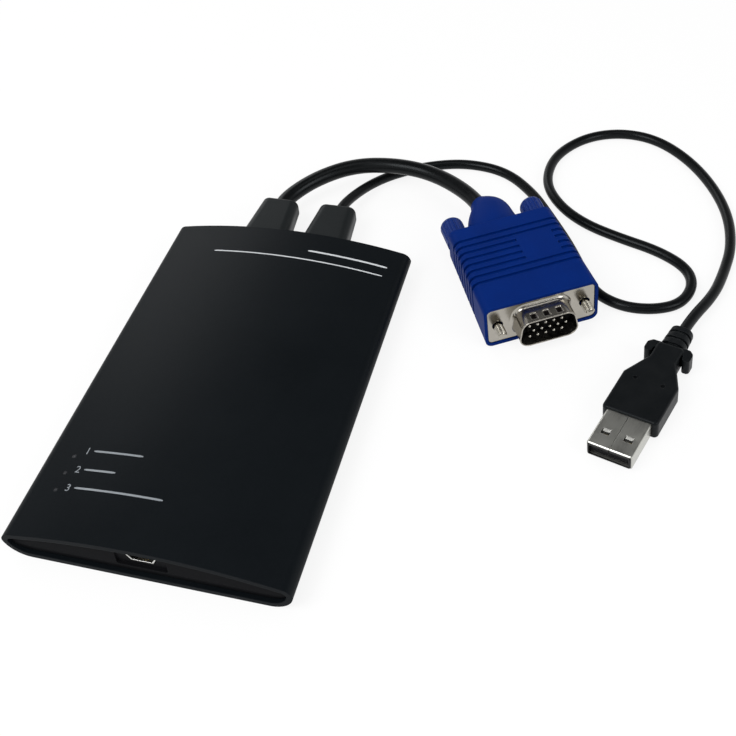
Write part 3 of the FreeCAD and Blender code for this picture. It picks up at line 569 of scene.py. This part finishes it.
wireRedSet = dict(
    leadBlackSet, base=(0.30, 0.035, 0.030), second=(0.36, 0.050, 0.042), speck=(0.40, 0.07, 0.06))
setFinish(mouldedFinish("wireRed", wireRedSet), "video_wires", "usb_wires")

lampWhiteSet = dict(
    chipBlackSet, base=(0.78, 0.77, 0.70), second=(0.84, 0.83, 0.77), speck=(0.88, 0.87, 0.82),
    rubbed=(0.90, 0.90, 0.86), gloss=(0.25, 0.35))
setFinish(mouldedFinish("lampWhite", lampWhiteSet), "status_lamps")

canMetalSet = dict(
    socketNickelSet, base=(0.58, 0.58, 0.59), second=(0.66, 0.66, 0.67), streak=(0.62, 0.62, 0.63))
setFinish(platedFinish("canMetal", canMetalSet), "crystal_can", "capacitors")
print("inner finishes on")

# light pipes: smoked clear moulding with a faint haze
pipeSet = {
    "base": (0.020, 0.022, 0.026), "second": (0.034, 0.037, 0.042), "gloss": (0.12, 0.24),
    "smearScale": 900.0, "clear": 0.35, "index": 1.49,
    "grainScale": 5000.0, "grainDepth": 0.00002, "grainPush": 0.15,
}


def clearFinish(name, look):
    material, tree, shader = blankMaterial(name)
    smear = placeSmear(tree, look)
    grain = placeGroup(tree, mouldGrain, Scale=look["grainScale"])
    toned = mixColours(tree, smear.outputs["Tone"], look["base"], look["second"])
    tree.links.new(toned, shader.inputs["Base Color"])
    tree.links.new(smear.outputs["Gloss"], shader.inputs["Roughness"])
    shader.inputs["Transmission Weight"].default_value = look["clear"]
    shader.inputs["IOR"].default_value = look["index"]
    addBump(tree, shader, grain.outputs["Height"], look["grainDepth"], look["grainPush"])
    return material


setFinish(clearFinish("pipeClear", pipeSet), "light_pipes")
print("light pipes clear")


# a skin between two rings of vertices
def joinRings(build, first, second, smooth=True):
    for i in range(len(first)):
        j = (i + 1) % len(first)
        build.faces.new((first[i], first[j], second[j], second[i])).smooth = smooth


# the finished mesh of a build, with its faces outward
def closeBuild(build, name):
    bmesh.ops.recalc_face_normals(build, faces=build.faces)
    mesh = bpy.data.meshes.new(name)
    build.to_mesh(mesh)
    build.free()
    return mesh


# jackscrews with a cut thread, on the axes that the frame gives
screwSet = {
    "reach": 0.0040, "root": 0.0003, "rootGap": 0.00002, "foot": -0.0435, "radius": 0.00142, "shank": 0.00110,
    "pitch": 0.000635, "depth": 0.00036, "flat": 0.12, "plainTurn": 0.6, "lead": 0.0005, "leadSlope": 0.9,
    "sides": 40, "stepsPerPitch": 12, "sharpAngle": 50.0,
}
screwNickelSet = dict(
    socketNickelSet, base=(0.30, 0.28, 0.24), second=(0.38, 0.36, 0.31), streak=(0.42, 0.40, 0.35),
    gloss=(0.14, 0.24))


def threadRadius(look, along, turn):
    if along - look["root"] < look["pitch"] * look["plainTurn"]:
        return look["shank"]
    share = (along / look["pitch"] - turn) % 1.0
    flank = abs(2.0 * share - 1.0)
    crest = min(max((flank - look["flat"]) / (1.0 - 2.0 * look["flat"]), 0.0), 1.0)
    radius = look["radius"] - look["depth"] * (1.0 - crest)
    left = look["reach"] - along
    if left < look["lead"]:
        radius = min(radius, look["radius"] - (look["lead"] - left) * look["leadSlope"])
    return radius


def makeScrew(name, joint, node, look):
    axis = Vector(joint["axis"]).normalized()
    across = axis.cross(Vector((0, 0, 1))).normalized()
    over = across.cross(axis)
    origin = Vector(joint["pos_m"])
    threaded = look["reach"] - look["root"]
    steps = int(threaded / look["pitch"] * look["stepsPerPitch"])
    stations = [look["foot"], look["root"] - look["rootGap"]]
    stations += [look["root"] + threaded * i / steps for i in range(steps + 1)]
    build = bmesh.new()
    rings = []
    for along in stations:
        ring = []
        for i in range(look["sides"]):
            turn = i / look["sides"]
            radius = threadRadius(look, along, turn)
            angle = 2 * math.pi * turn
            offset = across * (radius * math.cos(angle)) + over * (radius * math.sin(angle))
            ring.append(build.verts.new(origin + axis * along + offset))
        rings.append(ring)
    for first, second in zip(rings, rings[1:]):
        joinRings(build, first, second)
    build.faces.new(list(reversed(rings[0])))
    build.faces.new(rings[-1])
    mesh = closeBuild(build, name)
    for face in mesh.polygons:
        face.use_smooth = True
    mesh.set_sharp_from_angle(angle=math.radians(look["sharpAngle"]))
    screw = putInScene(name, mesh)
    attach(screw, joint["child"])
    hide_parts(node)


for joint in frame["joints"]:
    side = "left" if joint["child"].startswith("left") else "right"
    makeScrew(side + "Screw", joint, side + "_jackscrew", screwSet)
setFinish(platedFinish("screwNickel", screwNickelSet), "leftScrew", "rightScrew")
print("screws cut")


# sheet metal is built in the plug's own axes, with a layer for the painted shade, and then laid in place
def newSheet():
    build = bmesh.new()
    build.verts.layers.float.new(shadeLayer)
    return build


def plugMatrix(lie):
    turn = Matrix.Rotation(math.radians(lie["turn"]), 4, "Z")
    roll = Matrix.Rotation(math.radians(lie["roll"]), 4, "Y")
    return Matrix.Translation(Vector(lie["place"])) @ (turn @ roll)


# stamped shell of the video plug: flange, rolled root, D skirt with pressed dimples
shellSet = {
    "flange": (0.03081, 0.01255, 0.0013), "flangeFace": 0.0003, "flangeBack": 0.0011,
    "flangeEdge": 0.00015, "edgeBreak": 0.3,
    "skirt": (0.01692, 0.00836, 0.0026), "slant": 10.0, "sheet": 0.00045, "reach": 0.0059,
    "rootRadius": 0.0013, "rimRadius": 0.00018, "rimInside": 0.8,
    "holeAcross": 0.012495, "holeRadius": 0.00151,
    "steps": {"arc": 12, "long": 84, "side": 10, "root": 9, "skirt": 34, "rim": 3,
              "corner": 8, "edge": 4, "hole": 40},
    "dimple": {"across": (-0.0036, 0.0, 0.0036), "back": -0.0038, "half": (0.00098, 0.00120),
               "wall": 0.00042, "depth": 0.00036},
}


# points of a rounded outline, each with the number of its straight run, or -1 on an arc
def roundedLoop(corners, radius, arcSteps, runSteps):
    loop = []
    arcs = []
    for i, corner in enumerate(corners):
        before = (corners[i - 1] - corner).normalized()
        after = (corners[(i + 1) % len(corners)] - corner).normalized()
        half = before.angle(after) / 2
        middle = corner + (before + after).normalized() * (radius / math.sin(half))
        first = corner + before * (radius / math.tan(half)) - middle
        last = corner + after * (radius / math.tan(half)) - middle
        sweep = first.angle_signed(last)
        arc = []
        for k in range(arcSteps + 1):
            angle = -sweep * k / arcSteps
            arc.append(middle + Vector((first.x * math.cos(angle) - first.y * math.sin(angle),
                                        first.x * math.sin(angle) + first.y * math.cos(angle))))
        arcs.append(arc)
    for i, arc in enumerate(arcs):
        loop += [(point, -1) for point in arc]
        end = arcs[(i + 1) % len(arcs)][0]
        steps = runSteps[i]
        loop += [(arc[-1].lerp(end, k / steps), i) for k in range(1, steps)]
    return loop


def skirtLoop(look, grow):
    width, height, corner = look["skirt"]
    high = height / 2 + grow
    foot = width / 2 + grow
    top = foot - 2 * high * math.tan(math.radians(look["slant"]))
    corners = [Vector(pair) for pair in ((foot, -high), (top, high), (-top, high), (-foot, -high))]
    steps = look["steps"]
    return roundedLoop(corners, corner + grow, steps["arc"],
                       (steps["side"], steps["long"], steps["side"], steps["long"]))


# how far a dimple sinks the skin at a place on the skirt
def dimpleSink(dimple, x, y):
    sink = 0.0
    for across in dimple["across"]:
        out = max(abs(x - across) - dimple["half"][0], abs(y - dimple["back"]) - dimple["half"][1])
        share = min(max(-out / dimple["wall"], 0.0), 1.0)
        sink = max(sink, share * share * (3 - 2 * share) * dimple["depth"])
    return sink


def addRing(build, loop, y, dimple=None):
    ring = []
    layer = build.verts.layers.float[shadeLayer]
    for point, run in loop:
        x, z = point
        sink = dimpleSink(dimple, x, y) if dimple and run in (1, 3) else 0.0    # long faces only
        vertex = build.verts.new((x, y, z - math.copysign(sink, z)))
        # the layer carries the painted shade, full in the dimple floors
        vertex[layer] = sink / dimple["depth"] if dimple else 0.0
        ring.append(vertex)
    return ring


def fillFlat(build, rings):
    edges = []
    for ring in rings:
        for i, vertex in enumerate(ring):
            after = ring[(i + 1) % len(ring)]
            edges.append(build.edges.get((vertex, after)) or build.edges.new((vertex, after)))
    for part in bmesh.ops.triangle_fill(build, edges=edges, use_beauty=True)["geom"]:
        if isinstance(part, bmesh.types.BMFace):
            part.smooth = False


# from the flange down the skirt, round its rim and back up inside
def skirtRings(build, look):
    steps, sheet, root, rim = look["steps"], look["sheet"], look["rootRadius"], look["rimRadius"]
    mouth = -look["reach"]
    start, stop = look["flangeFace"] - root, mouth + rim
    inner = rim * look["rimInside"]
    rings = []
    for k in range(steps["root"] + 1):
        angle = math.pi / 2 * k / steps["root"]
        loop = skirtLoop(look, sheet + root * (1 - math.sin(angle)))
        rings.append(addRing(build, loop, start + root * math.cos(angle)))
    straight = skirtLoop(look, sheet)
    for k in range(1, steps["skirt"] + 1):
        rings.append(addRing(build, straight, start + (stop - start) * k / steps["skirt"], look["dimple"]))
    for k in range(1, steps["rim"] + 1):
        angle = math.pi / 2 * k / steps["rim"]
        loop = skirtLoop(look, sheet - rim * (1 - math.cos(angle)))
        rings.append(addRing(build, loop, stop - rim * math.sin(angle)))
    for k in range(steps["rim"] + 1):
        angle = math.pi / 2 * k / steps["rim"]
        loop = skirtLoop(look, inner * (1 - math.sin(angle)))
        rings.append(addRing(build, loop, mouth + inner * (1 - math.cos(angle))))
    rings.append(addRing(build, skirtLoop(look, 0.0), look["flangeBack"]))
    return rings


def flangeRings(build, look):
    width, height, corner = look["flange"]
    steps, face, back, edge = look["steps"], look["flangeFace"], look["flangeBack"], look["flangeEdge"]
    cut = edge * look["edgeBreak"]
    rings = []
    for inset, y in ((edge, face), (cut, face + cut), (0.0, face + edge), (0.0, back)):
        x = width / 2 - inset
        z = height / 2 - inset
        corners = [Vector(pair) for pair in ((x, -z), (x, z), (-x, z), (-x, -z))]
        runs = [steps["edge"]] * len(corners)
        rings.append(addRing(build, roundedLoop(corners, corner - inset, steps["corner"], runs), y))
    return rings


def holeRings(build, look, side):
    radius, face, back, edge = look["holeRadius"], look["flangeFace"], look["flangeBack"], look["flangeEdge"]
    sides = look["steps"]["hole"]
    rings = []
    for reach, y in ((radius + edge, face), (radius, face + edge), (radius, back)):
        loop = []
        for k in range(sides):
            angle = 2 * math.pi * k / sides
            x = side * look["holeAcross"] + reach * math.cos(angle)
            loop.append((Vector((x, reach * math.sin(angle))), -1))
        rings.append(addRing(build, loop, y))
    return rings


def makeShell(look):
    build = newSheet()
    skirt = skirtRings(build, look)
    flange = flangeRings(build, look)
    skins = [flange, skirt, holeRings(build, look, -1), holeRings(build, look, 1)]
    for rings in skins:
        for first, second in zip(rings, rings[1:]):
            joinRings(build, first, second)
    fillFlat(build, [rings[0] for rings in skins])
    fillFlat(build, [rings[-1] for rings in skins])
    mesh = closeBuild(build, "stampedShell")
    mesh.transform(plugMatrix(videoPlugLie))
    shell = putInScene("stampedShell", mesh)
    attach(shell, "adapter")
    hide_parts("video_shell")


makeShell(shellSet)
setFinish(platedFinish("videoNickel", videoNickelSet), "stampedShell")
print("video shell stamped")

# bright spring leaves over the bent flaps in the two windows of the flat plug, with painted shade darkening
# their low front ends
leafSet = {
    "across": 0.0030, "half": 0.00100, "rear": -0.00595, "front": -0.00736, "top": 0.00224,
    "drop": 0.00051, "thick": 0.00007, "crown": 0.00004, "steps": (8, 12),
    "shadeFrom": 0.42, "shadeRun": 0.22,
}
leafNickelSet = dict(
    usbNickelSet, base=(0.56, 0.56, 0.53), second=(0.66, 0.66, 0.63), streak=(0.62, 0.62, 0.59),
    rubbed=(0.80, 0.80, 0.77), gloss=(0.42, 0.55),
    # painted shade colour for the front of each leaf
    pressed=dict(videoNickelSet["pressed"], shadeColour=(0.030, 0.030, 0.028)))


def leafSkin(build, look, side, lift):
    layer = build.verts.layers.float[shadeLayer]
    wide, long = look["steps"]
    skin = []
    for j in range(long + 1):
        share = j / long
        y = look["rear"] + (look["front"] - look["rear"]) * share
        # painted shade: from shadeFrom on, the front of the leaf is darkened
        paintedShade = min(max((share - look["shadeFrom"]) / look["shadeRun"], 0.0), 1.0)
        row = []
        for i in range(wide + 1):
            spread = 2 * i / wide - 1
            crown = look["crown"] * (1 - spread * spread) * math.sin(math.pi * share)
            z = look["top"] - look["drop"] * share + crown + lift
            vertex = build.verts.new((side * look["across"] + spread * look["half"], y, z))
            vertex[layer] = paintedShade
            row.append(vertex)
        skin.append(row)
    return skin


def leafRim(skin):
    return skin[0] + [row[-1] for row in skin[1:]] + skin[-1][-2::-1] + [row[0] for row in skin[-2:0:-1]]


def makeLeaves(look):
    build = newSheet()
    for side in (-1, 1):
        low = leafSkin(build, look, side, 0.0)
        high = leafSkin(build, look, side, look["thick"])
        for skin in (low, high):
            for row, after in zip(skin, skin[1:]):
                for i in range(len(row) - 1):
                    build.faces.new((row[i], row[i + 1], after[i + 1], after[i])).smooth = True
        joinRings(build, leafRim(low), leafRim(high), False)
    mesh = closeBuild(build, "windowLeaves")
    mesh.transform(plugMatrix(flatPlugLie))
    leaves = putInScene("windowLeaves", mesh)
    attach(leaves, "adapter")


makeLeaves(leafSet)
setFinish(platedFinish("leafNickel", leafNickelSet), "windowLeaves")
print("spring leaves set")

# printed marks on the top: light numbers and plain rules
markSet = {
    "lift": 0.00003, "sunk": 0.00003, "weld": 0.000001, "rayFrom": 0.1,
    "digit": 0.0021, "digitScale": 1.35, "digitX": -0.0256,
    "ruleWidth": 0.00055, "ruleStep": 0.0008, "ruleEnd": 0.55,
    "rows": [("1", -0.0304, -0.0232, -0.0096), ("2", -0.0361, -0.0232, -0.0146),
             ("3", -0.0416, -0.0232, 0.0004)],
    "farRules": [(0.0487, 0.0079, 0.0314, 0.00060), (0.0450, -0.0201, 0.0309, 0.00042)],
}


# marks are built flat, low skin at 0 and top skin at 1, until makeMarks lays them on the case
def addRule(build, x0, x1, y, width, look):
    count = max(2, int((x1 - x0) / look["ruleStep"]))
    loops = []
    for i in range(count + 1):
        x = x0 + (x1 - x0) * i / count
        half = width / 2 * (look["ruleEnd"] if i in (0, count) else 1.0)
        loops.append([build.verts.new((x, y - half, 0)), build.verts.new((x, y + half, 0)),
                      build.verts.new((x, y + half, 1)), build.verts.new((x, y - half, 1))])
    for first, second in zip(loops, loops[1:]):
        joinRings(build, first, second, False)
    build.faces.new(list(reversed(loops[0])))
    build.faces.new(loops[-1])


def addDigit(build, text, y, look):
    curve = bpy.data.curves.new("digit" + text, "FONT")
    curve.body = text
    curve.size = look["digit"] * look["digitScale"]
    curve.extrude = 0.5    # only parts the two skins
    holder = putInScene("digit" + text, curve)
    bpy.context.view_layer.update()
    mesh = bpy.data.meshes.new_from_object(holder.evaluated_get(bpy.context.evaluated_depsgraph_get()))
    for vertex in mesh.vertices:
        level = 1.0 if vertex.co.z > 0 else 0.0
        vertex.co = (vertex.co.x + look["digitX"], vertex.co.y + y - look["digit"] / 2, level)
    build.from_mesh(mesh)
    bpy.data.objects.remove(holder)
    bpy.data.curves.remove(curve)
    bpy.data.meshes.remove(mesh)


def makeMarks(name, look, rows, rules):
    caseTree = BVHTree.FromObject(nodes["case_sleeve"], bpy.context.evaluated_depsgraph_get())
    build = bmesh.new()
    for text, y, x0, x1 in rows:
        addDigit(build, text, y, look)
        addRule(build, x0, x1, y, look["ruleWidth"], look)
    for y, x0, x1, width in rules:
        addRule(build, x0, x1, y, width, look)
    bmesh.ops.remove_doubles(build, verts=build.verts, dist=look["weld"])
    for vertex in build.verts:
        rise = look["lift"] if vertex.co.z > 0.5 else -look["sunk"]
        top = caseTree.ray_cast(Vector((vertex.co.x, vertex.co.y, look["rayFrom"])), Vector((0, 0, -1)))[0]
        vertex.co.z = top.z + rise
    marks = putInScene(name, closeBuild(build, name))
    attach(marks, "adapter")


makeMarks("rowMarks", markSet, markSet["rows"], [])
makeMarks("farMarks", markSet, [], markSet["farRules"])
farInkSet = dict(
    capBlackSet, base=(0.60, 0.62, 0.64), second=(0.52, 0.54, 0.56), speck=(0.46, 0.48, 0.50),
    rubbed=(0.34, 0.35, 0.36), gloss=(0.5, 0.6), grainScale=6000.0, edgeRadius=0.00002, rubAmount=0.2)
rowInkSet = dict(farInkSet, base=(0.28, 0.30, 0.32), second=(0.22, 0.24, 0.26), speck=(0.18, 0.20, 0.22))
setFinish(mouldedFinish("farInk", farInkSet), "farMarks")
setFinish(mouldedFinish("rowInk", rowInkSet), "rowMarks")
print("marks printed")
# stage: pale floor that melts into a white wall, a darker ceiling, soft lamps
stageSet = {
    "floorSize": 6.0, "floorDrop": 0.00002, "floorColour": (0.92, 0.92, 0.92), "floorRough": 0.9,
    "glow": 0.86, "fade": (0.35, 1.2), "ambient": 0.66, "wallRange": (0.20, 0.72), "wallTone": (1.0, 0.10),
    "aim": (0.04, 0.03, 0.0),
}
lampSet = [
    {"name": "keyLamp", "place": (-0.30, -0.38, 0.66), "size": 0.45, "watts": 3.8},
    {"name": "topLamp", "place": (0.10, 0.03, 0.85), "size": 0.34, "watts": 0.5},
    {"name": "sideLamp", "place": (0.65, -0.20, 0.45), "size": 0.35, "watts": 1.6},
    {"name": "backLamp", "place": (-0.45, 0.55, 0.40), "size": 0.35, "watts": 0.8},
]


# 1 for what the camera, reflections and clear pieces see, 0 for the light on the part
def addLightPath(tree):
    path = tree.nodes.new("ShaderNodeLightPath")
    seen = addMath(tree, "ADD", path.outputs["Is Camera Ray"], path.outputs["Is Glossy Ray"], True)
    return addMath(tree, "ADD", seen, path.outputs["Is Transmission Ray"], True)


def mixShaders(tree, share, first, second, output):
    mix = tree.nodes.new("ShaderNodeMixShader")
    tree.links.new(share, mix.inputs["Fac"])
    tree.links.new(first, mix.inputs[1])
    tree.links.new(second, mix.inputs[2])
    tree.links.new(mix.outputs["Shader"], output.inputs["Surface"])


def makeFloor(look):
    mesh = bpy.data.meshes.new("benchFloor")
    half = look["floorSize"] / 2
    corners = [(-half, -half, 0), (half, -half, 0), (half, half, 0), (-half, half, 0)]
    mesh.from_pydata(corners, [], [(0, 1, 2, 3)])
    floor = putInScene("benchFloor", mesh)
    floor.location.z = -look["floorDrop"]
    material, tree, shader = blankMaterial("benchWhite")
    shader.inputs["Base Color"].default_value = (*look["floorColour"], 1.0)
    shader.inputs["Roughness"].default_value = look["floorRough"]
    shader.inputs["Specular IOR Level"].default_value = 0.0
    glow = tree.nodes.new("ShaderNodeEmission")
    glow.inputs["Strength"].default_value = 1.0
    coords = tree.nodes.new("ShaderNodeTexCoord")
    apart = addVectorMath(tree, "LENGTH", coords.outputs["Object"])
    share = addRange(tree, apart["Value"], look["fade"], (look["glow"], 1.0))
    mixShaders(tree, addMath(tree, "MULTIPLY", addLightPath(tree), share), shader.outputs["BSDF"],
               glow.outputs["Emission"], tree.nodes["Material Output"])
    mesh.materials.append(material)


def makeWorld(look):
    world = bpy.data.worlds.new("studio")
    bpy.context.scene.world = world
    world.use_nodes = True
    tree = world.node_tree
    tree.nodes.clear()
    coords = tree.nodes.new("ShaderNodeTexCoord")
    split = tree.nodes.new("ShaderNodeSeparateXYZ")
    tree.links.new(coords.outputs["Generated"], split.inputs["Vector"])
    wall = tree.nodes.new("ShaderNodeBackground")
    shade = addRange(tree, split.outputs["Z"], look["wallRange"], look["wallTone"])
    tree.links.new(shade, wall.inputs["Color"])
    wall.inputs["Strength"].default_value = 1.0
    fill = tree.nodes.new("ShaderNodeBackground")
    fill.inputs["Strength"].default_value = look["ambient"]
    mixShaders(tree, addLightPath(tree), fill.outputs["Background"], wall.outputs["Background"],
               tree.nodes.new("ShaderNodeOutputWorld"))


def makeLamp(look, target):
    data = bpy.data.lights.new(look["name"], "AREA")
    data.size = look["size"]
    data.energy = look["watts"]
    lamp = putInScene(look["name"], data)
    lamp.location = look["place"]
    lamp.rotation_euler = (target - lamp.location).to_track_quat("-Z", "Y").to_euler()


makeFloor(stageSet)
makeWorld(stageSet)
for look in lampSet:
    makeLamp(look, Vector(stageSet["aim"]))
bpy.context.scene.view_settings.view_transform = "Standard"
print("stage lit")
